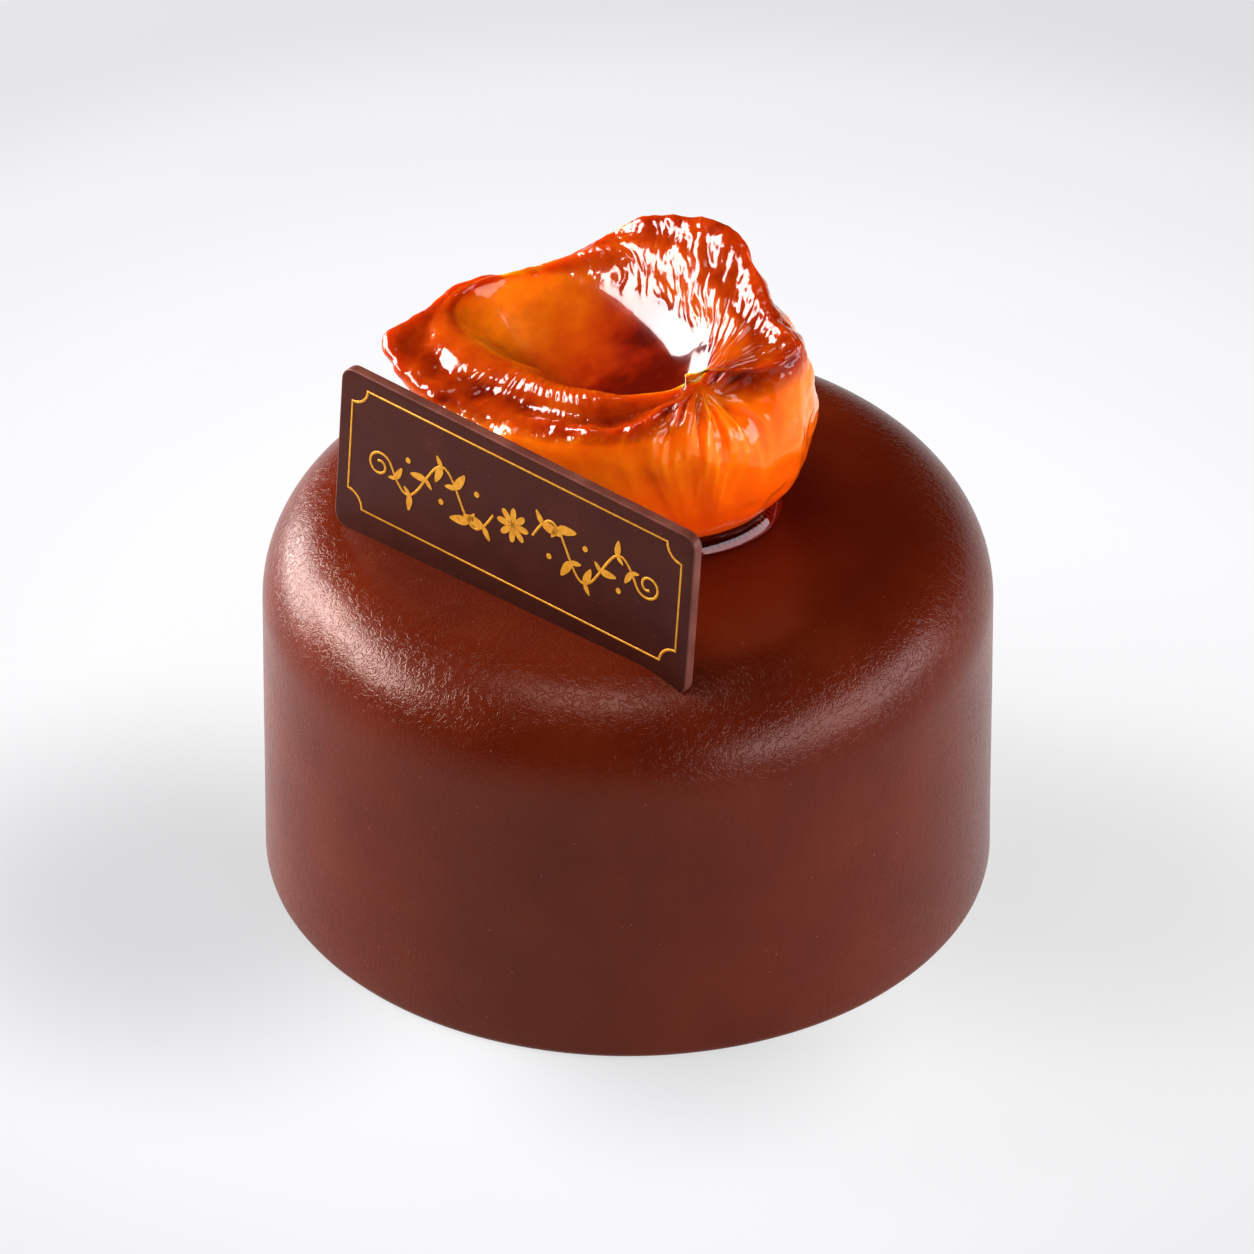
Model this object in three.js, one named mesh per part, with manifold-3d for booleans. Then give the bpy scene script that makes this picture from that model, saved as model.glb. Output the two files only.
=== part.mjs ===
// A single-portion sachertorte: a low round cake under a smooth chocolate coat, with a glazed
// candied apricot half resting on its top and a thin dark chocolate plaque stood in the coat
// in front of the fruit. Millimetres, +Z up, the origin at the middle of the flat underside.
// The viewer stands at -Y, so "near" is -Y, "far" is +Y, "right" is +X and "left" is -X.

import * as THREE from "three";
import { mergeVertices } from "three/addons/utils/BufferGeometryUtils.js";
import Module from "manifold-3d";

// Driving sizes

const CAKE = {
  topRadius: 35,
  baseRadius: 35.2,
  height: 39.5,
  shoulderRound: 10, // the large round between the top and the side
  baseRound: 0.8,
  segments: 96,
};

const PLAQUE = {
  length: 43,
  height: 17.9,
  thickness: 1.1,
  cornerRadius: 1.5,
  edgeBevel: 0.15,
  turn: -39, // degrees about +Z, from +X
  leanBack: 3, // degrees towards the apricot
  dipRight: 1.8, // degrees, the right end is pushed deeper
  lowerLeftCorner: [-28.05, -2.3, 39.35],
  grooveGap: 0.3,
};

// The apricot is a stack of rings, from its foot over the rim and down into the pit hollow.
// A ring is an oval with its own reach to the right, far, left and near side of its centre.
const APRICOT = {
  segments: 112,
  samplesPerSpan: [1, 2, 3, 4, 4, 3, 3, 3, 3, 3, 3, 2],
  foot: { centre: [3.5, 0.5], right: 8.2, far: 7, left: 6.5, near: 6.8, rise: 0 },
  lower: { centre: [2, 0.5], right: 13.8, far: 11.5, left: 11, near: 9.8, rise: 3.6 },
  belly: { centre: [0, 0.5], right: 17.8, far: 15.2, left: 15, near: 11.6, rise: 9.2 },
  shoulder: { centre: [-2, 0.5], right: 19.4, far: 15, left: 18.2, near: 12.4, rise: 14.2 },
  rim: { centre: [-2, 0.5], right: 18.8, far: 12.2, left: 19.2, near: 12, rise: 18.2 },
  hollow: { centre: [-4.5, 1.8], right: 13, far: 8.6, left: 13, near: 6.4, rise: 18, turn: -27 },
  hollowFloor: { centre: [-7.5, 1], rise: 13.4 },
  hollowCurve: 1.1, // 1 is a cone, 2 a bowl that is steepest at its edge
};

// The wall that the stone left round the hollow: straight on the far right side, where it faces
// left and near, and soft elsewhere. Angles in degrees, its width and its drop in millimetres.
const HOLLOW_WALL = {
  at: 35,
  spread: 80,
  faces: -147, // the way down the straight wall
  straight: { wide: 2.3, drop: 1.75 },
  soft: { wide: 3, drop: 1.4 },
};

// The fruit leans: from the foot up, what lies right of the hinge comes nearer and higher by
// these millimetres per millimetre, and what lies left of it goes back and down
const LEAN = { hinge: -2, nearer: 0.26, higher: 0.185 };

// Local shapes of the rim: angle and spread in degrees, the rest in millimetres. "near" moves
// the rim towards the viewer, and what isn't given is 0.
const RIM_SWELLS = [
  { name: "blossom tip", at: 182, spread: 15, out: 1.7 },
  { name: "far left edge", at: 146, spread: 18, out: 1.1, up: 0.7 },
  { name: "far crest", at: 68, spread: 36, out: 2.4, up: 5.5 },
  { name: "far right corner", at: 42, spread: 15, out: 0.8, up: 2.6 },
  { name: "right crest", at: 17, spread: 21, out: -1.3, up: 1.6, near: 4 },
  { name: "stem notch", at: -29, spread: 16, out: -7.2 },
  { name: "side of the stem", at: -58, spread: 14, out: -2.4 },
  { name: "low near side", at: -98, spread: 46, up: -1.4 },
  { name: "near left lip", at: -140, spread: 32, up: -2, near: -2.8 },
];

// Pleats of the skin round the stem end: angles in degrees, the count is per full turn
const PLEATS = { at: -34, spread: 34, count: 20, depth: 0.32, firstSpan: 1.6, lastSpan: 5.6 };

const radians = THREE.MathUtils.degToRad;

// 1 at the angle "at", falling smoothly to 0 a few spreads away from it
function swell(angle, at, spread) {
  const away = THREE.MathUtils.euclideanModulo(angle - at + 180, 360) - 180;
  return Math.exp(-((away / spread) ** 2));
}

function ovalReach(ring, angle) {
  const local = radians(angle - (ring.turn ?? 0));
  const across = Math.cos(local) > 0 ? ring.right : ring.left;
  const along = Math.sin(local) > 0 ? ring.far : ring.near;
  return (across * along) / Math.hypot(along * Math.cos(local), across * Math.sin(local));
}

function ringPoint(ring, angle, out = 0, up = 0) {
  const reach = ovalReach(ring, angle) + out;
  return new THREE.Vector3(
    ring.centre[0] + reach * Math.cos(radians(angle)),
    ring.centre[1] + reach * Math.sin(radians(angle)),
    CAKE.height + ring.rise + up,
  );
}

function sumSwells(angle, key) {
  return RIM_SWELLS.reduce((sum, s) => sum + (s[key] ?? 0) * swell(angle, s.at, s.spread), 0);
}

// Cake: one turned solid

function cakeProfile() {
  const { topRadius, baseRadius, height, shoulderRound, baseRound } = CAKE;
  const points = [new THREE.Vector2(0, 0)];
  const arc = (x, y, radius, from, to, steps) => {
    for (let i = 0; i <= steps; i++) {
      const a = radians(from + ((to - from) * i) / steps);
      points.push(new THREE.Vector2(x + radius * Math.cos(a), y + radius * Math.sin(a)));
    }
  };
  arc(baseRadius - baseRound, baseRound, baseRound, -90, 0, 3);
  arc(topRadius - shoulderRound, height - shoulderRound, shoulderRound, 0, 90, 12);
  points.push(new THREE.Vector2(0, height));
  return points;
}

function cakeGeometry() {
  const geometry = new THREE.LatheGeometry(cakeProfile(), CAKE.segments);
  geometry.rotateX(Math.PI / 2);
  return geometry;
}

// Plaque: a thin plate with rounded corners, drawn from its lower left corner

function plaqueGeometry(grow = 0) {
  const { length, height, thickness, edgeBevel } = PLAQUE;
  const r = PLAQUE.cornerRadius;
  const shape = new THREE.Shape();
  const left = edgeBevel - grow;
  const right = length - edgeBevel + grow;
  const low = edgeBevel - grow;
  const high = height - edgeBevel + grow;
  shape.moveTo(left + r, low);
  shape.lineTo(right - r, low);
  shape.absarc(right - r, low + r, r, -Math.PI / 2, 0);
  shape.absarc(right - r, high - r, r, 0, Math.PI / 2);
  shape.absarc(left + r, high - r, r, Math.PI / 2, Math.PI);
  shape.absarc(left + r, low + r, r, Math.PI, 1.5 * Math.PI);
  const geometry = new THREE.ExtrudeGeometry(shape, {
    depth: thickness - 2 * edgeBevel + 2 * grow,
    curveSegments: 6,
    bevelEnabled: true,
    bevelThickness: edgeBevel,
    bevelSize: edgeBevel,
    bevelSegments: 1,
  });
  // The front face ends on z = 0, and the thickness runs away from the viewer
  geometry.translate(0, 0, edgeBevel - thickness - grow);
  return geometry;
}

function placePlaque(object) {
  object.position.set(...PLAQUE.lowerLeftCorner);
  const upright = new THREE.Matrix4().makeRotationX(Math.PI / 2 - radians(PLAQUE.leanBack));
  const dip = new THREE.Matrix4().makeRotationZ(-radians(PLAQUE.dipRight));
  const turn = new THREE.Matrix4().makeRotationZ(radians(PLAQUE.turn));
  object.setRotationFromMatrix(turn.multiply(upright).multiply(dip));
}

// Apricot half

function apricotKnots(angle) {
  const { foot, lower, belly, shoulder, rim, hollow, hollowFloor } = APRICOT;
  const near = Math.max(0, -Math.sin(radians(angle - 12)));
  const notch = swell(angle, -29, 16);
  const crest = swell(angle, 55, 34);
  const rimPoint = ringPoint(rim, angle, sumSwells(angle, "out"), sumSwells(angle, "up"));
  rimPoint.y -= sumSwells(angle, "near");
  const edgeTilt = 1.2 * Math.sin(radians(angle + 5));
  const edge = ringPoint(hollow, angle, 0, edgeTilt);
  const onFace = (share, lift) => {
    const p = rimPoint.clone().lerp(edge, share);
    p.z += lift;
    return p;
  };
  const crease = 1.3 * near ** 1.5 * (1 - notch);
  const floor = new THREE.Vector3(...hollowFloor.centre, CAKE.height + hollowFloor.rise);
  const wallFoot = hollowWallFoot(edge, floor, angle);
  const onFloor = (reach) => {
    const p = floor.clone().lerp(wallFoot, reach);
    p.z = THREE.MathUtils.lerp(floor.z, wallFoot.z, reach ** APRICOT.hollowCurve);
    return p;
  };
  return [
    new THREE.Vector3(foot.centre[0], foot.centre[1], CAKE.height),
    ringPoint(foot, angle),
    ringPoint(lower, angle),
    ringPoint(belly, angle),
    ringPoint(shoulder, angle, -2 * notch, 2.5 * crest),
    rimPoint,
    onFace(0.4, 0.3 - crease),
    onFace(0.72, 0.5),
    edge,
    wallFoot,
    onFloor(0.75),
    onFloor(0.4),
    floor,
  ];
}

function hollowWallFoot(edge, floor, angle) {
  const { at, spread, faces, straight, soft } = HOLLOW_WALL;
  const share = swell(angle, at, spread);
  const wide = THREE.MathUtils.lerp(soft.wide, straight.wide, share);
  const drop = THREE.MathUtils.lerp(soft.drop, straight.drop, share);
  const inwards = floor.clone().sub(edge).setZ(0).normalize();
  inwards.lerp(new THREE.Vector3(Math.cos(radians(faces)), Math.sin(radians(faces)), 0), share);
  const foot = edge.clone().addScaledVector(inwards.normalize(), wide);
  foot.z -= drop;
  return foot;
}

// Wrinkles that fan out from the stem end over the skin, between the lower ring and the rim
function pleat(angle, span) {
  const { at, spread, count, depth, firstSpan, lastSpan } = PLEATS;
  if (span < firstSpan || span > lastSpan) return 0;
  const fade = Math.sin((Math.PI * (span - firstSpan)) / (lastSpan - firstSpan));
  return depth * fade * swell(angle, at, spread) * Math.cos(radians((angle - at) * count));
}

function leaned(p) {
  const height = (p.z - CAKE.height) / APRICOT.rim.rise;
  const share = THREE.MathUtils.smoothstep(height, 0, 1) * (p.x - LEAN.hinge);
  const z = Math.max(p.z + share * LEAN.higher, CAKE.height);
  return new THREE.Vector3(p.x, p.y - share * LEAN.nearer, z);
}

function apricotGeometry() {
  const columns = [];
  const { belly } = APRICOT;
  const middle = new THREE.Vector3(...belly.centre, CAKE.height + belly.rise);
  for (let i = 0; i < APRICOT.segments; i++) {
    const angle = (360 * i) / APRICOT.segments;
    const knots = apricotKnots(angle);
    const curve = new THREE.CatmullRomCurve3(knots, false, "centripetal");
    const column = [];
    APRICOT.samplesPerSpan.forEach((samples, span) => {
      for (let s = 0; s < samples; s++) {
        const p = curve.getPoint((span + s / samples) / (knots.length - 1));
        p.addScaledVector(p.clone().sub(middle).normalize(), pleat(angle, span + s / samples));
        column.push(leaned(p));
      }
    });
    column.push(leaned(knots.at(-1)));
    columns.push(column);
  }
  return closedFromColumns(columns);
}

// Columns share their first and last point, and neighbours are joined all the way round
function closedFromColumns(columns) {
  const rows = columns[0].length;
  const positions = [];
  const first = columns[0][0];
  const last = columns[0][rows - 1];
  positions.push(first.x, first.y, first.z, last.x, last.y, last.z);
  const index = [];
  const at = (c, r) => 2 + (c % columns.length) * (rows - 2) + (r - 1);
  columns.forEach((column) => column.slice(1, -1).forEach((p) => positions.push(p.x, p.y, p.z)));
  for (let c = 0; c < columns.length; c++) {
    index.push(0, at(c + 1, 1), at(c, 1));
    for (let r = 1; r < rows - 2; r++) {
      index.push(at(c, r), at(c + 1, r), at(c, r + 1));
      index.push(at(c + 1, r), at(c + 1, r + 1), at(c, r + 1));
    }
    index.push(1, at(c, rows - 2), at(c + 1, rows - 2));
  }
  const geometry = new THREE.BufferGeometry();
  geometry.setAttribute("position", new THREE.Float32BufferAttribute(positions, 3));
  geometry.setIndex(index);
  geometry.computeVertexNormals();
  return geometry;
}

// Boolean cut

const wasm = await Module();
wasm.setup();

function toSolid(geometry) {
  const bare = geometry.clone();
  bare.deleteAttribute("normal");
  bare.deleteAttribute("uv");
  const merged = mergeVertices(bare, 1e-4);
  const mesh = new wasm.Mesh({
    numProp: 3,
    vertProperties: new Float32Array(merged.attributes.position.array),
    triVerts: new Uint32Array(merged.index.array),
  });
  return new wasm.Manifold(mesh);
}

function fromSolid(solid) {
  const mesh = solid.getMesh();
  const geometry = new THREE.BufferGeometry();
  geometry.setAttribute("position", new THREE.BufferAttribute(mesh.vertProperties, 3));
  geometry.setIndex(new THREE.BufferAttribute(mesh.triVerts, 1));
  geometry.computeVertexNormals();
  return geometry;
}

// The coat closes round the plaque's foot, a hair clear of it
function cutGroove(cake) {
  const cutter = new THREE.Object3D();
  placePlaque(cutter);
  cutter.updateMatrixWorld();
  const block = plaqueGeometry(PLAQUE.grooveGap).applyMatrix4(cutter.matrixWorld);
  return fromSolid(toSolid(cake).subtract(toSolid(block)));
}

// Materials and the finished group

const chocolateCoat = new THREE.MeshStandardMaterial({ color: 0x6b3022, roughness: 0.42, metalness: 0 });
const darkChocolate = new THREE.MeshStandardMaterial({ color: 0x46231e, roughness: 0.5, metalness: 0 });
const candiedApricot = new THREE.MeshStandardMaterial({ color: 0xdd5a08, roughness: 0.12, metalness: 0 });

const cake = new THREE.Mesh(cutGroove(cakeGeometry()), chocolateCoat);
cake.name = "cake";

const plaque = new THREE.Mesh(plaqueGeometry(), darkChocolate);
plaque.name = "plaque";
placePlaque(plaque);

const apricot = new THREE.Mesh(apricotGeometry(), candiedApricot);
apricot.name = "apricot";

const sachertorte = new THREE.Group();
sachertorte.add(cake, plaque, apricot);

export default sachertorte;
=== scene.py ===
"""A single-portion sachertorte: chocolate coat, glazed apricot half and a thin chocolate plaque."""

import math

import bmesh
import bpy
import numpy as np
from mathutils import Matrix, Vector, noise


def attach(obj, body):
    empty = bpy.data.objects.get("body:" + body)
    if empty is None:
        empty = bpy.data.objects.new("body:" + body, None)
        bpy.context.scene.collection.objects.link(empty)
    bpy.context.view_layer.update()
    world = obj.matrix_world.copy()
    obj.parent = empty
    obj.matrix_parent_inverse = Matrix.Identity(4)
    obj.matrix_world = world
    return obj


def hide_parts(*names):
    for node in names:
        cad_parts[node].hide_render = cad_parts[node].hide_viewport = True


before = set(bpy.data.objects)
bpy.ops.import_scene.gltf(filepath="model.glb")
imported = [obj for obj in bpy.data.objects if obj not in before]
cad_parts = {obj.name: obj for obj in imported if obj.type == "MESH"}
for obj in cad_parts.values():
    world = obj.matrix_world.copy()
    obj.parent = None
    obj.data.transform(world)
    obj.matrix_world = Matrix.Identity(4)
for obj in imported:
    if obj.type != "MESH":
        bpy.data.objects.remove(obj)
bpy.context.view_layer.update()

MM = 0.001

# Driving sizes, in millimetres and degrees. The viewer stands at -Y.
CAMERA = {
    "target": (-0.1, 0, 25.38),
    "distance": 1200,
    "elevation": 35.45,
    "lens": 358.4,
    "sensor": 36,
}
LIGHT_DISTANCE = 600

COAT = {
    "top_radius": 35,
    "base_radius": 35.2,
    "height": 39.5,
    "shoulder_round": 10,
    "foot_round": 0.8,
    "sides": 192,
    "side_cuts": 14,
    "top_rings": 11,
    "top_ring_width": 2.05,
    "sag": 0.12,
    "sag_wave": 22,
}

PLAQUE = {
    "length": 43,
    "height": 17.9,
    "thickness": 1.1,
    "corner_radius": 1.5,
    "edge_bevel": 0.15,
    "turn": -39,
    "lean_back": 3,
    "dip_right": 1.8,
    "lower_left_corner": (-28.05, -2.3, 39.35),
}

# Rows of the fruit's mesh, counted from the foot over the rim and down into the hollow. The cut
# face runs from the start of the rim to the edge of the hollow.
ROW = {"rim_start": 11, "edge": 23}
STEM_END = (6.6, -7.4, 58.5)
BLOSSOM_TIP = (-22.7, 7.2, 53.0)
HOLLOW_CENTRE = (-5, 2.2)
DROP_RADIUS = 0.62

# Syrup: how far in and how high its bead is, step by step from the foot, and then how much it
# draws in and rises, step by step, where it creeps up the fruit.
BEAD = ((0.02, 0.3), (0.14, 0.55), (0.32, 0.85), (0.5, 1.15), (0.75, 1.4), (1.2, 1.6), (2.0, 1.7))
CREEP = ((0.95, 0.05), (0.94, 0.3), (0.93, 0.7))
PUDDLE = {"centre": (3.6, 0.3), "reach": (11.2, 9.3), "sunk": 0.1, "sides": 96}

# The gold print: a thin scooped border round the face, and in its middle a rosette between two
# vines, each a wave of stem with leaves and berries that ends in a curl.
GARLAND = {
    "line": 0.3,
    "relief": 0.05,
    "border_inset": 1.5,
    "border_high": 13.4,
    "middle": (21.5, 9.6),
    "corner_scoop": 1.8,
    "petals": 8,
    "petal": 1.9,
    "petal_width": 0.36,
    "stem_start": 2.4,
    "wave": 8.4,
    "waves": 1.5,
    "swing": 2.5,
    "curl": 1.5,
    "leaves": 7,
    "leaf": 2.5,
    "berries": 3,
    "berry": 0.62,
}

# How the table glows, painted into its emission: centre and reach, and the share of light from the rim
# of that reach to its centre. The first is the whole table's glow, painted brightest round the cake;
# the others are painted shades of the cake on it.
TABLE_GLOW = [
    ((5, 20, 0), 400, ((0.66, 0.64), (0.725, 0.74), (0.8, 0.8), (0.86, 0.835), (1.0, 0.84))),
    ((-43, -9, 0), 42, ((0.0, 1.0), (0.85, 0.7))),
    ((44, -8, 0), 36, ((0.0, 1.0), (0.85, 0.87))),
    ((4, -32, 0), 26, ((0.0, 1.0), (0.9, 0.82))),
]


# Helpers

def linear(hex_colour):
    """An sRGB hex colour as linear RGBA."""
    parts = [int(hex_colour[i : i + 2], 16) / 255 for i in (1, 3, 5)]
    return (*[c / 12.92 if c <= 0.04045 else ((c + 0.055) / 1.055) ** 2.4 for c in parts], 1.0)


def smooth(low, high, value):
    """0 below low, 1 above high, and a smooth step between them."""
    t = np.clip((np.asarray(value, float) - low) / (high - low), 0, 1)
    return t * t * (3 - 2 * t)


def deselect():
    """Leaves edit mode and selects nothing."""
    if bpy.context.object and bpy.context.object.mode != "OBJECT":
        bpy.ops.object.mode_set(mode="OBJECT")
    bpy.ops.object.select_all(action="DESELECT")


def select_only(piece):
    """Selects one object and makes it the active one."""
    deselect()
    piece.select_set(True)
    bpy.context.view_layer.objects.active = piece


def pick(piece, kind, test):
    """In edit mode, selects the faces or edges that pass a test, and nothing else."""
    bpy.ops.mesh.select_mode(type="FACE" if kind == "faces" else "EDGE")
    bpy.ops.mesh.select_all(action="DESELECT")
    mesh = bmesh.from_edit_mesh(piece.data)
    mesh.normal_update()
    for part in getattr(mesh, kind):
        if test(part):
            part.select_set(True)
    mesh.select_flush_mode()
    bmesh.update_edit_mesh(piece.data)


def apply_modifier(piece, kind, **settings):
    """Adds a modifier with these settings and applies it."""
    select_only(piece)
    modifier = piece.modifiers.new(kind.lower(), kind)
    for key, value in settings.items():
        setattr(modifier, key, value)
    bpy.ops.object.modifier_apply(modifier=modifier.name)


def extrude_up(rise):
    """In edit mode, extrudes what is selected upwards by a number of millimetres."""
    bpy.ops.mesh.extrude_region_move(TRANSFORM_OT_translate={"value": (0, 0, rise * MM)})


def settle(piece, matrix=None):
    """Puts the piece's place into its mesh, so that its object sits at the origin."""
    select_only(piece)
    if matrix is not None:
        piece.matrix_world = matrix
    bpy.ops.object.transform_apply(location=True, rotation=True, scale=True)


def finish_piece(piece, name, material, slot, *replaced):
    """Names a piece, gives it its material, hides the nodes it replaces and ties it to the body."""
    piece.name = name
    piece.data.name = name
    piece.data.materials.clear()
    piece.data.materials.append(material)
    if replaced:
        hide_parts(*replaced)
    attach(piece, "root")
    return piece


# Camera and light

def look_at(thing, place, target):
    """Puts a camera or a light at a place and turns it towards the target."""
    thing.location = place
    thing.rotation_euler = (Vector(target) - Vector(place)).to_track_quat("-Z", "Y").to_euler()


def place_camera():
    """The camera, a long lens in front of the cake and above it."""
    target = Vector(CAMERA["target"]) * MM
    tilt = math.radians(CAMERA["elevation"])
    back = Vector((0, -math.cos(tilt), math.sin(tilt)))
    data = bpy.data.cameras.new("camera")
    data.lens = CAMERA["lens"]
    data.sensor_width = CAMERA["sensor"]
    data.clip_start = 0.05
    data.clip_end = 20
    camera = bpy.data.objects.new("camera", data)
    bpy.context.scene.collection.objects.link(camera)
    look_at(camera, target + back * CAMERA["distance"] * MM, target)
    bpy.context.scene.camera = camera


def softbox(name, azimuth, elevation, wide, tall, radiance, tint="#FFFFFF"):
    """A rectangular light that faces the cake, with its size as seen from there, in degrees.

    Azimuth 0 is to the right and 90 behind the cake. The radiance is relative to white paper.
    """
    a, e = math.radians(azimuth), math.radians(elevation)
    away = Vector((math.cos(a) * math.cos(e), math.sin(a) * math.cos(e), math.sin(e)))
    target = Vector((0, 0, 0.7 * COAT["height"] * MM))
    distance = LIGHT_DISTANCE * MM
    data = bpy.data.lights.new(name, "AREA")
    data.shape = "RECTANGLE"
    data.size = 2 * distance * math.tan(math.radians(wide / 2))
    data.size_y = 2 * distance * math.tan(math.radians(tall / 2))
    data.energy = radiance * math.pi * data.size * data.size_y
    data.color = linear(tint)[:3]
    light = bpy.data.objects.new(name, data)
    bpy.context.scene.collection.objects.link(light)
    look_at(light, target + away * distance, target)


def light_the_table():
    """Two strip lights to the left, a wide one to the right, a small one above, and a dim room."""
    softbox("left_softbox", 168, 28, 42, 18, 22)
    softbox("left_low_softbox", 142, 6.5, 30, 24, 12.5)
    softbox("right_softbox", -22, 16, 76, 24, 6.5, "#F4F4FF")
    softbox("top_softbox", 232, 80, 28, 22, 5)
    world = bpy.data.worlds.new("room")
    world.use_nodes = True
    background = world.node_tree.nodes["Background"]
    background.inputs["Color"].default_value = linear("#F2F4FA")
    background.inputs["Strength"].default_value = 0.012
    bpy.context.scene.world = world
    bpy.context.scene.view_settings.view_transform = "Standard"
    bpy.context.scene.view_settings.gamma = 0.87


# Materials

def new_material(name):
    """A material with its node tree and its Principled shader."""
    material = bpy.data.materials.new(name)
    material.use_nodes = True
    return material, material.node_tree, material.node_tree.nodes["Principled BSDF"]


def add_node(tree, kind, links=None, **settings):
    """Adds a node. Settings are its properties or inputs by name; links gives inputs by socket."""
    node = tree.nodes.new(kind)
    for key, value in settings.items():
        if hasattr(node, key):
            setattr(node, key, value)
    for key, value in settings.items():
        if not hasattr(node, key):
            node.inputs[key.replace("_", " ")].default_value = value
    for key, source in (links or {}).items():
        tree.links.new(source, node.inputs[key])
    return node


def colour_steps(ramp, *steps):
    """Fills a colour ramp with (place, hex colour) steps."""
    elements = ramp.color_ramp.elements
    while len(elements) < len(steps):
        elements.new(1.0)
    for element, (place, hex_colour) in zip(elements, steps):
        element.position = place
        element.color = linear(hex_colour)


def value_steps(ramp, *steps):
    """Fills a ramp with (place, grey value) steps."""
    elements = ramp.color_ramp.elements
    while len(elements) < len(steps):
        elements.new(1.0)
    for element, (place, value) in zip(elements, steps):
        element.position = place
        element.color = (value, value, value, 1)


def per_mm(size):
    """A texture scale that gives a pattern of this size in millimetres."""
    return 1 / (size * MM)


def chocolate_coat_material():
    """Chocolate couverture poured and chilled: satin, a touch uneven, with fine crinkles and specks."""
    material, tree, shader = new_material("poured_chocolate")
    place = add_node(tree, "ShaderNodeTexCoord").outputs["Object"]
    mottle = add_node(tree, "ShaderNodeTexNoise", {"Vector": place}, Scale=per_mm(9), Detail=4)
    tone = add_node(tree, "ShaderNodeValToRGB", {"Fac": mottle.outputs["Fac"]})
    colour_steps(tone, (0.32, "#621E07"), (0.7, "#6D260B"))
    dots = add_node(tree, "ShaderNodeTexVoronoi", {"Vector": place}, Scale=per_mm(1.9))
    dot_mask = add_node(tree, "ShaderNodeValToRGB", {"Fac": dots.outputs["Distance"]})
    value_steps(dot_mask, (0.03, 0.5), (0.055, 0.0))
    speckled = add_node(tree, "ShaderNodeMix", data_type="RGBA")
    tree.links.new(dot_mask.outputs["Color"], speckled.inputs[0])
    tree.links.new(tone.outputs["Color"], speckled.inputs[6])
    speckled.inputs[7].default_value = linear("#B0705A")
    tree.links.new(speckled.outputs[2], shader.inputs["Base Color"])
    shader.inputs["IOR"].default_value = 1.46
    shader.inputs["Specular IOR Level"].default_value = 0.4
    shader.inputs["Specular Tint"].default_value = linear("#FFE6DA")
    gloss = add_node(tree, "ShaderNodeTexNoise", {"Vector": place}, Scale=per_mm(3), Detail=3)
    gloss_range = add_node(tree, "ShaderNodeMapRange", {"Value": gloss.outputs["Fac"]})
    gloss_range.inputs["To Min"].default_value = 0.22
    gloss_range.inputs["To Max"].default_value = 0.29
    tree.links.new(gloss_range.outputs["Result"], shader.inputs["Roughness"])
    crinkle = add_node(
        tree,
        "ShaderNodeTexNoise",
        {"Vector": place},
        Scale=per_mm(0.85),
        Detail=2.0,
        Roughness=0.45,
        Distortion=1.3,
    )
    crinkle_lines = add_node(tree, "ShaderNodeValToRGB", {"Fac": crinkle.outputs["Fac"]})
    value_steps(crinkle_lines, (0.40, 1.0), (0.49, 0.0), (0.58, 1.0))
    bump = add_node(
        tree,
        "ShaderNodeBump",
        {"Height": crinkle_lines.outputs["Color"]},
        Strength=0.35,
        Distance=0.05 * MM,
    )
    tree.links.new(bump.outputs["Normal"], shader.inputs["Normal"])
    return material


def dark_chocolate_material(name, tone_low, tone_high, roughness):
    """Tempered dark chocolate cast on film: flat satin with a faint bloom and dust-fine specks."""
    material, tree, shader = new_material(name)
    place = add_node(tree, "ShaderNodeTexCoord").outputs["Object"]
    bloom = add_node(tree, "ShaderNodeTexNoise", {"Vector": place}, Scale=per_mm(3.5), Detail=5)
    tone = add_node(tree, "ShaderNodeValToRGB", {"Fac": bloom.outputs["Fac"]})
    colour_steps(tone, (0.3, tone_low), (0.72, tone_high))
    dots = add_node(tree, "ShaderNodeTexVoronoi", {"Vector": place}, Scale=per_mm(1.1))
    dot_mask = add_node(tree, "ShaderNodeValToRGB", {"Fac": dots.outputs["Distance"]})
    value_steps(dot_mask, (0.04, 0.45), (0.08, 0.0))
    speckled = add_node(tree, "ShaderNodeMix", data_type="RGBA")
    tree.links.new(dot_mask.outputs["Color"], speckled.inputs[0])
    tree.links.new(tone.outputs["Color"], speckled.inputs[6])
    speckled.inputs[7].default_value = linear("#8C6258")
    tree.links.new(speckled.outputs[2], shader.inputs["Base Color"])
    shader.inputs["IOR"].default_value = 1.46
    shader.inputs["Specular IOR Level"].default_value = 0.25
    shader.inputs["Roughness"].default_value = roughness
    grain = add_node(tree, "ShaderNodeTexNoise", {"Vector": place}, Scale=per_mm(0.35), Detail=3)
    bump = add_node(
        tree, "ShaderNodeBump", {"Height": grain.outputs["Fac"]}, Strength=0.25, Distance=0.02 * MM
    )
    tree.links.new(bump.outputs["Normal"], shader.inputs["Normal"])
    return material


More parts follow.
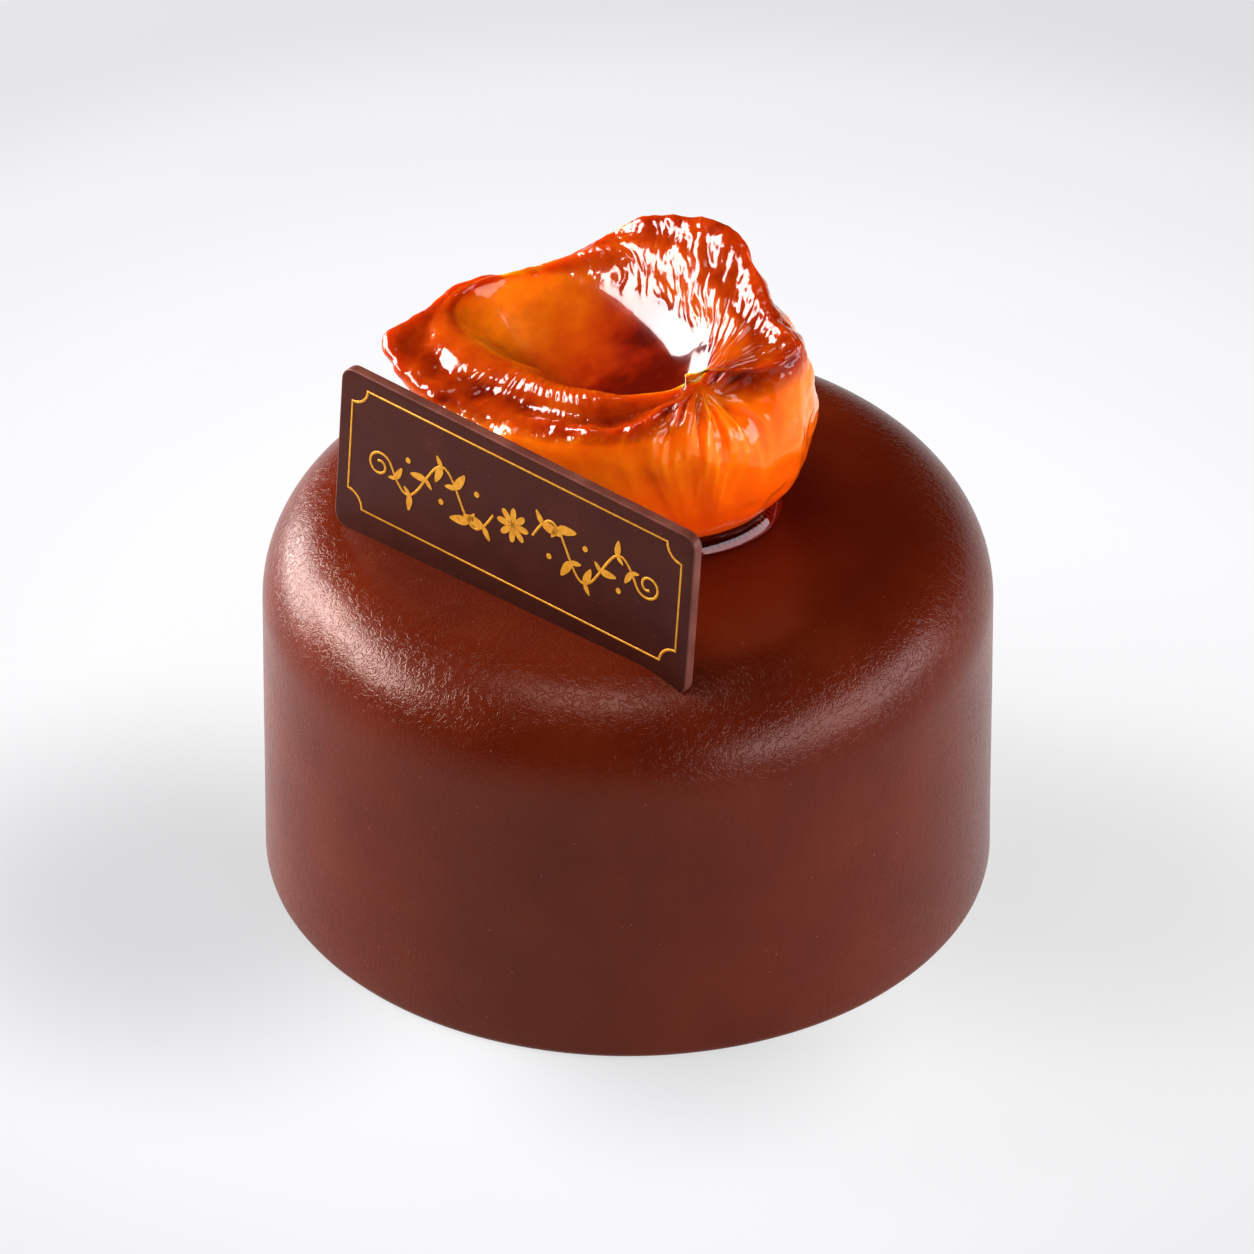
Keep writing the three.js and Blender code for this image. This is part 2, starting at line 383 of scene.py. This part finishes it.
def candied_fruit_material():
    """Candied apricot under syrup: translucent flesh from amber to red-brown, with painted shade in its
    hollow and creases and a painted glow for the light through it.
    """
    material, tree, shader = new_material("candied_apricot")
    place = add_node(tree, "ShaderNodeTexCoord").outputs["Object"]
    # The depth attribute is the flesh's tone with painted shade: darker across the hollow away from its
    # lit far left, and in the creases.
    depth = add_node(tree, "ShaderNodeAttribute", attribute_name="depth", attribute_type="GEOMETRY")
    cloud = add_node(tree, "ShaderNodeTexNoise", {"Vector": place}, Scale=per_mm(3.6), Detail=4)
    shift = add_node(
        tree, "ShaderNodeMath", {0: cloud.outputs["Fac"]}, operation="MULTIPLY_ADD"
    )
    shift.inputs[1].default_value = 0.5
    shift.inputs[2].default_value = -0.25
    total = add_node(
        tree, "ShaderNodeMath", {0: depth.outputs["Fac"], 1: shift.outputs[0]}, operation="ADD"
    )
    flesh = add_node(tree, "ShaderNodeValToRGB", {"Fac": total.outputs[0]})
    colour_steps(
        flesh,
        (0.0, "#FF9A16"),
        (0.3, "#F1840C"),
        (0.45, "#D26C08"),
        (0.6, "#BE5006"),
        (0.78, "#AA3804"),
        (0.92, "#861C02"),
        (1.0, "#641002"),
    )
    ember = add_node(tree, "ShaderNodeAttribute", attribute_name="ember", attribute_type="GEOMETRY")
    tone = add_node(tree, "ShaderNodeMix", data_type="RGBA")
    tree.links.new(ember.outputs["Fac"], tone.inputs[0])
    tree.links.new(flesh.outputs["Color"], tone.inputs[6])
    tone.inputs[7].default_value = linear("#FF4A04")
    tree.links.new(tone.outputs[2], shader.inputs["Base Color"])
    # Painted glow: the flesh colour, scaled by the glow attribute, is emitted as if light came through
    # the fruit.
    glow = add_node(tree, "ShaderNodeAttribute", attribute_name="glow", attribute_type="GEOMETRY")
    lit_through = add_node(tree, "ShaderNodeMix", data_type="RGBA", blend_type="MULTIPLY")
    lit_through.inputs[0].default_value = 1
    tree.links.new(tone.outputs[2], lit_through.inputs[6])
    tree.links.new(glow.outputs["Fac"], lit_through.inputs[7])
    tree.links.new(lit_through.outputs[2], shader.inputs["Emission Color"])
    shader.inputs["Emission Strength"].default_value = 0.3
    shader.inputs["Subsurface Weight"].default_value = 1.0
    shader.inputs["Subsurface Radius"].default_value = (1.0, 0.5, 0.2)
    shader.inputs["Subsurface Scale"].default_value = 4.0 * MM
    shader.inputs["Roughness"].default_value = 0.16
    shader.inputs["IOR"].default_value = 1.42
    shader.inputs["Specular IOR Level"].default_value = 0.2
    shader.inputs["Coat Weight"].default_value = 0.7
    shader.inputs["Coat Roughness"].default_value = 0.05
    shader.inputs["Coat IOR"].default_value = 1.47
    skin = add_node(tree, "ShaderNodeTexNoise", {"Vector": place}, Scale=per_mm(0.8), Detail=3)
    bump = add_node(
        tree, "ShaderNodeBump", {"Height": skin.outputs["Fac"]}, Strength=0.2, Distance=0.1 * MM
    )
    tree.links.new(bump.outputs["Normal"], shader.inputs["Normal"])
    return material


def syrup_material():
    """Clear amber sugar syrup, wet: it darkens what lies under it and mirrors the lights."""
    material, tree, shader = new_material("sugar_syrup")
    shader.inputs["Base Color"].default_value = linear("#7E3618")
    shader.inputs["Transmission Weight"].default_value = 1.0
    shader.inputs["Roughness"].default_value = 0.03
    shader.inputs["IOR"].default_value = 1.45
    return material


def gold_print_material():
    """Gold-coloured cocoa butter printed by screen: warm yellow, satin, slightly uneven."""
    material, tree, shader = new_material("gold_cocoa_butter_print")
    place = add_node(tree, "ShaderNodeTexCoord").outputs["Object"]
    grain = add_node(tree, "ShaderNodeTexNoise", {"Vector": place}, Scale=per_mm(0.5), Detail=3)
    tone = add_node(tree, "ShaderNodeValToRGB", {"Fac": grain.outputs["Fac"]})
    colour_steps(tone, (0.3, "#D9921C"), (0.7, "#EDAE38"))
    tree.links.new(tone.outputs["Color"], shader.inputs["Base Color"])
    shader.inputs["Roughness"].default_value = 0.4
    shader.inputs["Metallic"].default_value = 0.25
    return material


def table_material():
    """White acrylic lit from beneath, its glow painted as emission: brightest round the cake, with
    painted soft shades of the cake on it.
    """
    material, tree, shader = new_material("backlit_white_acrylic")
    place = add_node(tree, "ShaderNodeTexCoord").outputs["Object"]
    glow = None
    # Each sphere paints into the emission: the first the glow, the others the cake's shades.
    for centre, reach, steps in TABLE_GLOW:
        ball = add_node(tree, "ShaderNodeMapping", {"Vector": place})
        ball.inputs["Scale"].default_value = (1 / (reach * MM),) * 3
        ball.inputs["Location"].default_value = tuple(-c / reach for c in centre)
        fall = add_node(tree, "ShaderNodeTexGradient", {"Vector": ball.outputs["Vector"]})
        fall.gradient_type = "SPHERICAL"
        ramp = add_node(tree, "ShaderNodeValToRGB", {"Fac": fall.outputs["Fac"]})
        ramp.color_ramp.interpolation = "EASE"
        value_steps(ramp, *steps)
        if glow is None:
            glow = ramp.outputs["Color"]
        else:
            mix = add_node(tree, "ShaderNodeMix", data_type="RGBA", blend_type="MULTIPLY")
            mix.inputs[0].default_value = 1
            tree.links.new(glow, mix.inputs[6])
            tree.links.new(ramp.outputs["Color"], mix.inputs[7])
            glow = mix.outputs[2]
    tree.links.new(glow, shader.inputs["Emission Color"])
    shader.inputs["Emission Strength"].default_value = 1.0
    shader.inputs["Base Color"].default_value = linear("#5C5C60")
    shader.inputs["Roughness"].default_value = 0.8
    shader.inputs["Specular IOR Level"].default_value = 0.0
    return material


# Table

def make_table():
    """The wide plane that the cake stands on."""
    deselect()
    bpy.ops.mesh.primitive_plane_add(size=8, location=(0, 0, 0))
    table = bpy.context.object
    table.name = "table"
    settle(table)
    table.data.materials.append(table_material())


# Coat

def make_coat():
    """A drum with a large round at the top and a small one at the foot, as it leaves a soft mould."""
    height = COAT["height"] * MM
    deselect()
    bpy.ops.mesh.primitive_cylinder_add(
        vertices=COAT["sides"],
        radius=COAT["base_radius"] * MM,
        depth=height,
        end_fill_type="NGON",
        location=(0, 0, height / 2),
    )
    coat = bpy.context.object
    settle(coat)
    bpy.ops.object.mode_set(mode="EDIT")
    draw_in = COAT["top_radius"] / COAT["base_radius"]
    pick(coat, "faces", lambda f: f.normal.z > 0.9)
    bpy.ops.transform.resize(value=(draw_in, draw_in, 1), center_override=(0, 0, height))
    for level, size, steps in ((height, COAT["shoulder_round"], 20), (0, COAT["foot_round"], 4)):
        pick(coat, "edges", lambda e: all(abs(v.co.z - level) < 1e-6 for v in e.verts))
        bpy.ops.mesh.bevel(offset=size * MM, segments=steps, profile=0.5, affect="EDGES")
    pick(coat, "edges", lambda e: abs(e.verts[0].co.z - e.verts[1].co.z) > height / 2)
    bpy.ops.mesh.subdivide(number_cuts=COAT["side_cuts"])
    pick(coat, "faces", lambda f: f.normal.z > 0.9999 and len(f.verts) > 4)
    for _ in range(COAT["top_rings"]):
        bpy.ops.mesh.inset(thickness=COAT["top_ring_width"] * MM)
    bpy.ops.mesh.poke()
    bpy.ops.object.mode_set(mode="OBJECT")
    waves = bpy.data.textures.new("coat_waves", "CLOUDS")
    waves.noise_scale = COAT["sag_wave"] * MM
    apply_modifier(coat, "DISPLACE", texture=waves, strength=COAT["sag"] * MM, mid_level=0.5)
    flatten_foot(coat)
    bpy.ops.object.shade_smooth()
    return finish_piece(coat, "chocolate_coat", chocolate_coat_material(), "chocolate_coat", "cake")


def flatten_foot(coat):
    """What the displacement moved under the table or past the CAD's height comes back."""
    for v in coat.data.vertices:
        v.co.z = min(max(v.co.z, 0), COAT["height"] * MM)


# Plaque, drawn flat: x along it, y up it, z towards the viewer, and then stood up

def plaque_matrix():
    """The place of the plaque: turned, leaned back and dipped into the coat on its right."""
    corner = Matrix.Translation(Vector(PLAQUE["lower_left_corner"]) * MM)
    turn = Matrix.Rotation(math.radians(PLAQUE["turn"]), 4, "Z")
    upright = Matrix.Rotation(math.radians(90 - PLAQUE["lean_back"]), 4, "X")
    dip = Matrix.Rotation(math.radians(-PLAQUE["dip_right"]), 4, "Z")
    return corner @ turn @ upright @ dip


def make_plaque():
    """A thin bar with rounded corners and softened edges, stood in the coat."""
    length, height, thickness = (PLAQUE[k] * MM for k in ("length", "height", "thickness"))
    deselect()
    bpy.ops.mesh.primitive_cube_add(size=1, location=(length / 2, height / 2, -thickness / 2))
    plaque = bpy.context.object
    plaque.scale = (length, height, thickness)
    settle(plaque)
    bpy.ops.object.mode_set(mode="EDIT")
    pick(plaque, "edges", lambda e: abs(e.verts[0].co.z - e.verts[1].co.z) > 0.5 * thickness)
    bpy.ops.mesh.bevel(offset=PLAQUE["corner_radius"] * MM, segments=8, profile=0.5)
    pick(plaque, "edges", lambda e: len({f.normal.z > 0.5 for f in e.link_faces}) == 2)
    bpy.ops.mesh.bevel(offset=PLAQUE["edge_bevel"] * MM, segments=3, profile=0.5)
    pick(plaque, "edges", lambda e: len({f.normal.z < -0.5 for f in e.link_faces}) == 2)
    bpy.ops.mesh.bevel(offset=PLAQUE["edge_bevel"] * MM, segments=3, profile=0.5)
    bpy.ops.object.mode_set(mode="OBJECT")
    settle(plaque, plaque_matrix())
    bpy.ops.object.shade_smooth_by_angle(angle=math.radians(30))
    face = dark_chocolate_material("dark_chocolate_face", "#461A10", "#502218", 0.42)
    # Lighter edges: partly worn, crumbly edges of the chocolate, partly a painted highlight where the
    # thin edges catch the light.
    rim = dark_chocolate_material("dark_chocolate_edge_and_painted_highlight", "#6B3A30", "#8A5548", 0.35)
    finish_piece(plaque, "chocolate_plaque", face, "dark_chocolate", "plaque")
    plaque.data.materials.append(rim)
    front = plaque_matrix().to_3x3() @ Vector((0, 0, 1))
    for polygon in plaque.data.polygons:
        polygon.material_index = 0 if abs(polygon.normal.dot(front)) > 0.98 else 1
    return plaque


# Gold garland, drawn flat round the middle of the plaque's face, x along it and y up it

def stroke(points, closed=False):
    """A printed line through the points: a round cord, pressed flat to the relief of the print."""
    deselect()
    data = bpy.data.curves.new("stroke", "CURVE")
    data.dimensions = "3D"
    data.bevel_depth = GARLAND["line"] / 2 * MM
    data.bevel_resolution = 2
    data.use_fill_caps = True
    spline = data.splines.new("POLY")
    spline.points.add(len(points) - 1)
    for point, (x, y) in zip(spline.points, points):
        point.co = (x * MM, y * MM, 0, 1)
    spline.use_cyclic_u = closed
    line = bpy.data.objects.new("stroke", data)
    bpy.context.scene.collection.objects.link(line)
    select_only(line)
    bpy.ops.object.convert(target="MESH")
    line = bpy.context.object
    line.scale.z = GARLAND["relief"] / (GARLAND["line"] / 2)
    settle(line)
    return line


def petal(place, turn, length, width, taper=0.35):
    """A printed leaf, petal or dot, from its root at a place, turned in degrees."""
    deselect()
    bpy.ops.mesh.primitive_circle_add(vertices=18, radius=0.5, fill_type="NGON")
    leaf = bpy.context.object
    for v in leaf.data.vertices:
        v.co = ((v.co.x + 0.5) * length * MM, v.co.y * width * (1 - taper * 2 * v.co.x) * MM, 0)
    bpy.ops.object.mode_set(mode="EDIT")
    bpy.ops.mesh.select_all(action="SELECT")
    extrude_up(GARLAND["relief"])
    bpy.ops.mesh.select_all(action="SELECT")
    bpy.ops.mesh.normals_make_consistent(inside=False)
    bpy.ops.object.mode_set(mode="OBJECT")
    move = Matrix.Translation(Vector((*place, 0)) * MM)
    settle(leaf, move @ Matrix.Rotation(math.radians(turn), 4, "Z"))
    return leaf


def join(pieces):
    """Joins the pieces into the first of them."""
    deselect()
    for piece in pieces:
        piece.select_set(True)
    bpy.context.view_layer.objects.active = pieces[0]
    bpy.ops.object.join()
    return pieces[0]


def stem_point(share):
    """A point of the wavy stem to the right of the middle, and its direction in degrees."""
    run = share * GARLAND["waves"] * GARLAND["wave"]
    turn = 2 * math.pi * run / GARLAND["wave"]
    slope = GARLAND["swing"] * math.cos(turn) * 2 * math.pi / GARLAND["wave"]
    x = GARLAND["stem_start"] + run
    return (x, GARLAND["swing"] * math.sin(turn)), math.degrees(math.atan(slope))


def make_vine():
    """One half of the garland: a wavy stem with leaves and berries, that ends in a curl."""
    stem = [stem_point(i / 48)[0] for i in range(49)]
    (end_x, end_y), heading = stem_point(1)
    start = heading - 90
    middle_x = end_x - GARLAND["curl"] * math.cos(math.radians(start))
    middle_y = end_y - GARLAND["curl"] * math.sin(math.radians(start))
    curl = []
    for i in range(1, 37):
        radius = GARLAND["curl"] * (1 - 0.72 * i / 36)
        angle = math.radians(start + 12.5 * i)
        curl.append((middle_x + radius * math.cos(angle), middle_y + radius * math.sin(angle)))
    pieces = [stroke(stem + curl)]
    for i in range(GARLAND["leaves"]):
        place, heading = stem_point((i + 0.6) / GARLAND["leaves"])
        side = 1 if i % 2 else -1
        size = GARLAND["leaf"] * (1 - 0.06 * i)
        pieces.append(petal(place, heading + 58 * side, size, 0.4 * size))
        pieces.append(petal(place, heading - 72 * side, 0.6 * size, 0.25 * size))
    berry = GARLAND["berry"]
    for i in range(GARLAND["berries"]):
        (x, y), _ = stem_point((i + 0.5) / GARLAND["berries"])
        pieces.append(petal((x - berry / 2, -0.55 * y), 0, berry, berry, 0))
    return join(pieces)


def make_border():
    """A thin rule round the face, scooped out at its corners."""
    half_long = PLAQUE["length"] / 2 - GARLAND["border_inset"]
    half_high = GARLAND["border_high"] / 2
    scoop = GARLAND["corner_scoop"]
    points = []
    for right, up, first in ((1, 1, 270), (-1, 1, 0), (-1, -1, 90), (1, -1, 180)):
        for i in range(9):
            angle = math.radians(first - 90 * i / 8)
            x = right * half_long + scoop * math.cos(angle)
            y = up * half_high + scoop * math.sin(angle)
            points.append((x, y))
    return stroke(points, closed=True)


def make_garland():
    """The whole print: two vines, half a turn apart, a rosette between them and the border."""
    right = make_vine()
    left = right.copy()
    left.data = right.data.copy()
    bpy.context.scene.collection.objects.link(left)
    settle(left, Matrix.Rotation(math.pi, 4, "Z"))
    count = GARLAND["petals"]
    width = GARLAND["petal_width"] * GARLAND["petal"]
    rosette = [
        petal((0, 0), 360 * i / count, GARLAND["petal"], width, -0.3)
        for i in range(count)
    ]
    garland = join([right, left, make_border()] + rosette)
    middle = Matrix.Translation(Vector((*GARLAND["middle"], 0)) * MM)
    settle(garland, plaque_matrix() @ middle)
    return finish_piece(garland, "gold_garland", gold_print_material(), "gold_print")


# Apricot half

def fruit_rows(mesh):
    """The row of each vertex: its distance from the pole of the foot, counted in edges."""
    pole = min((v for v in mesh.verts if len(v.link_edges) > 50), key=lambda v: v.co.z)
    rows = {pole: 0}
    front = [pole]
    while front:
        after = []
        for v in front:
            for edge in v.link_edges:
                other = edge.other_vert(v)
                if other not in rows:
                    rows[other] = rows[v] + 1
                    after.append(other)
        front = after
    return rows


def fruit_relief(places, rows):
    """How far each point of the fruit moves out along its normal, in millimetres."""
    x, y, z = places.T
    stem_x, stem_y, stem_z = STEM_END
    away = np.sqrt((x - stem_x) ** 2 + (y - stem_y) ** 2 + (z - stem_z) ** 2)
    fan = np.arctan2(y - stem_y, x - stem_x)
    middle_x, middle_y = HOLLOW_CENTRE
    around = np.arctan2(y - middle_y, x - middle_x)
    skin = smooth(1.5, 5, rows) * (1 - smooth(12.5, 15, rows))
    rim = smooth(10, 13, rows) * (1 - smooth(15, 19, rows))
    cut = smooth(13, 16, rows) * (1 - smooth(22.5, 24.5, rows))
    near = smooth(4, 0, y + 0.35 * x) * (1 - smooth(5.5, 9, x))
    crest = smooth(1, 6, x + y)
    by_stem = np.exp(-((away / 7) ** 2)) * smooth(0.8, 3.4, away)
    lumps = sample_noise(places / 5.0, 2)
    knobs = sample_noise(places / 2.4 + 5, 2)
    folds = sample_noise(np.stack([fan * 3.6, away / 16, z / 30], 1) + 7, 3)
    pleats = sample_noise(np.stack([fan * 7, away / 9, z / 18], 1) + 19, 2)
    creases = -np.abs(sample_noise(np.stack([fan * 3.2, away / 14, z / 26], 1) + 61, 2))
    sway = 0.05 * sample_noise(places / 4.0 + 51, 2)
    fibres = sample_noise(np.stack([(fan + sway) * 17, away / 5, z / 12], 1) + 31, 3)
    serration = sample_noise(np.stack([around * 17, rows / 7, z / 12], 1) + 43, 2)
    dimples = sample_noise(places / 0.9 + 3, 2)
    out = lumps * (0.35 * rim + 0.36 * skin + 0.1 * cut)
    out += knobs * (0.16 * rim + 0.12 * skin + 0.06 * cut)
    out += folds * skin * (0.8 * by_stem + 0.08)
    out += creases * skin * (1.2 * by_stem + 0.16)
    out += pleats * skin * (0.42 * by_stem + 0.03)
    out += fibres * cut * (1 - near) * 0.1
    out += serration * (rim + cut).clip(0, 1) * near * 0.055
    out += dimples * (0.06 * skin + 0.025 * rim + 0.03 * cut)
    lip = smooth(0, -3, x) * near
    out += lip * 0.4 * smooth(18, 22, rows) * (1 - smooth(22.5, 24.5, rows))
    out -= lip * 0.3 * smooth(14.5, 17, rows) * (1 - smooth(17, 19, rows))
    tip = np.exp(-(((places - BLOSSOM_TIP) ** 2).sum(1) / 7.0))
    out += 0.9 * tip
    rolled = smooth(15.5, 18, rows) * (1 - smooth(18, 21.5, rows))
    under_crest = smooth(11, 14, rows) * (1 - smooth(14, 16.5, rows))
    out += crest * (0.35 * rolled - 0.05 * under_crest)
    return out


def sample_noise(places, octaves):
    """Smooth noise about zero at each place."""
    return np.array([
        noise.fractal(Vector(p), 1.0, 2.0, octaves, noise_basis="PERLIN_ORIGINAL") for p in places
    ])


def fruit_paint(places, rows, relief):
    """The flesh's tone, with painted shade across the hollow and in the creases, how red it is towards
    the foot, and a painted glow for the light that comes through.
    """
    x, y, _ = places.T
    in_hollow = smooth(21.5, 23.5, rows)
    # Painted shade: the hollow goes darker from its far left, where light comes through the thin wall,
    # to its near right.
    hollow_shade = smooth(-15, 6, x * 0.85 - (y - 4) * 0.7)
    rim = smooth(9.5, 13.5, rows) * (1 - smooth(17, 21, rows))
    cut = smooth(14, 18, rows)
    foot = 1 - smooth(2, 9, rows)
    stem = np.exp(-(((places - STEM_END) ** 2).sum(1) / 5.0))
    # Painted shade in the creases, darker where the relief goes in.
    crease_shade = 0.26 * np.clip(-relief - 0.05, 0, 0.8)
    skin = np.maximum(np.maximum(0.22 + 0.4 * stem, 0.76 * rim), 0.64 * cut)
    depth = in_hollow * (0.38 + 0.62 * hollow_shade) + (1 - in_hollow) * (skin + crease_shade)
    ember = (0.25 + 0.6 * foot) * (1 - smooth(10, 13, rows))
    # Painted glow: the skin glows as if lit through, the rim and the cut face far less.
    glow = 1 - 0.9 * smooth(9, 13, rows)
    return depth, ember, glow


def make_fruit():
    """A copy of the solid's mesh, made fine and given the folds, fibres and dimples of the flesh."""
    deselect()
    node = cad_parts["apricot"]
    fruit = node.copy()
    fruit.data = node.data.copy()
    fruit.parent = None
    for key in list(fruit.keys()):
        del fruit[key]
    bpy.context.scene.collection.objects.link(fruit)
    select_only(fruit)
    bpy.ops.object.mode_set(mode="EDIT")
    bpy.ops.mesh.select_all(action="SELECT")
    bpy.ops.mesh.remove_doubles(threshold=0.002 * MM)
    flat_enough = math.radians(60)
    bpy.ops.mesh.tris_convert_to_quads(face_threshold=flat_enough, shape_threshold=flat_enough)
    bpy.ops.object.mode_set(mode="OBJECT")
    mesh = bmesh.new()
    mesh.from_mesh(fruit.data)
    rows_layer = mesh.verts.layers.float.new("row")
    for v, row in fruit_rows(mesh).items():
        v[rows_layer] = row
    mesh.to_mesh(fruit.data)
    mesh.free()
    subdivide_cut_face(fruit)
    apply_modifier(fruit, "SUBSURF", levels=2, render_levels=2)
    relieve(fruit)
    bpy.ops.object.shade_smooth()
    flesh = candied_fruit_material()
    return finish_piece(fruit, "candied_apricot", flesh, "candied_apricot", "apricot")


def subdivide_cut_face(fruit):
    """The rim and the cut face get twice the points, so that they can take fibres."""
    select_only(fruit)
    bpy.ops.object.mode_set(mode="EDIT")
    bpy.ops.mesh.select_mode(type="FACE")
    bpy.ops.mesh.select_all(action="DESELECT")
    mesh = bmesh.from_edit_mesh(fruit.data)
    row = mesh.verts.layers.float["row"]
    for face in mesh.faces:
        face.select_set(all(ROW["rim_start"] <= v[row] <= ROW["edge"] for v in face.verts))
    bmesh.update_edit_mesh(fruit.data)
    bpy.ops.mesh.subdivide(number_cuts=1)
    bpy.ops.object.mode_set(mode="OBJECT")


def relieve(fruit):
    """Moves the fruit's points out or in by the relief, and paints the flesh's tone with its painted
    shade and glow.
    """
    count = len(fruit.data.vertices)
    places = np.empty(count * 3)
    normals = np.empty(count * 3)
    rows = np.empty(count)
    fruit.data.vertices.foreach_get("co", places)
    fruit.data.vertices.foreach_get("normal", normals)
    fruit.data.attributes["row"].data.foreach_get("value", rows)
    places = places.reshape(-1, 3) / MM
    normals = normals.reshape(-1, 3)
    relief = fruit_relief(places, rows)
    paint = fruit_paint(places, rows, relief)
    moved = places + normals * relief[:, None]
    moved[:, 2] = np.maximum(moved[:, 2], COAT["height"] - 0.05)
    fruit.data.vertices.foreach_set("co", (moved * MM).ravel())
    for name, values in zip(("depth", "ember", "glow"), paint):
        layer = fruit.data.attributes.new(name, "FLOAT", "POINT")
        layer.data.foreach_set("value", values)
    fruit.data.update()


def make_drop():
    """A drop of syrup that hangs from the blossom tip."""
    deselect()
    bpy.ops.mesh.primitive_uv_sphere_add(segments=24, ring_count=16, radius=DROP_RADIUS * MM)
    drop = bpy.context.object
    bpy.ops.object.mode_set(mode="EDIT")
    pick(drop, "faces", lambda f: f.normal.x > 0.2)
    bpy.ops.transform.translate(
        value=(0.9 * MM, 0, 0.25 * MM),
        use_proportional_edit=True,
        proportional_size=0.8 * MM,
    )
    bpy.ops.object.mode_set(mode="OBJECT")
    settle(drop, Matrix.Translation(Vector(BLOSSOM_TIP) * MM))
    bpy.ops.object.shade_smooth()
    flesh = bpy.data.materials["candied_apricot"]
    return finish_piece(drop, "syrup_drop", flesh, "candied_apricot")


# Syrup round the foot of the fruit

def make_puddle():
    """A thin skin of syrup that creeps up the fruit and ends in a rounded bead."""
    reach_x, reach_y = (r * MM for r in PUDDLE["reach"])
    deselect()
    bpy.ops.mesh.primitive_circle_add(vertices=PUDDLE["sides"], radius=1, fill_type="NGON")
    puddle = bpy.context.object
    puddle.scale = (reach_x, reach_y, 1)
    settle(puddle)
    bpy.ops.object.mode_set(mode="EDIT")
    pick(puddle, "faces", lambda f: True)
    edge = 1.0
    level = 0.0
    for drawn_in, height in BEAD:
        next_edge = 1 - drawn_in / PUDDLE["reach"][0]
        extrude_up(height - level)
        bpy.ops.transform.resize(value=(next_edge / edge, next_edge / edge, 1))
        edge, level = next_edge, height
    for drawn_in, rise in CREEP:
        extrude_up(rise)
        bpy.ops.transform.resize(value=(drawn_in, drawn_in, 1))
    bpy.ops.mesh.poke()
    bpy.ops.mesh.select_all(action="SELECT")
    bpy.ops.mesh.normals_make_consistent(inside=False)
    bpy.ops.object.mode_set(mode="OBJECT")
    centre = Vector((*PUDDLE["centre"], COAT["height"] - PUDDLE["sunk"])) * MM
    settle(puddle, Matrix.Translation(centre))
    apply_modifier(puddle, "SUBSURF", levels=1, render_levels=1)
    bpy.ops.object.shade_smooth()
    return finish_piece(puddle, "syrup_puddle", syrup_material(), "syrup")


place_camera()
light_the_table()
make_table()
make_coat()
make_plaque()
make_garland()
make_fruit()
make_drop()
make_puddle()
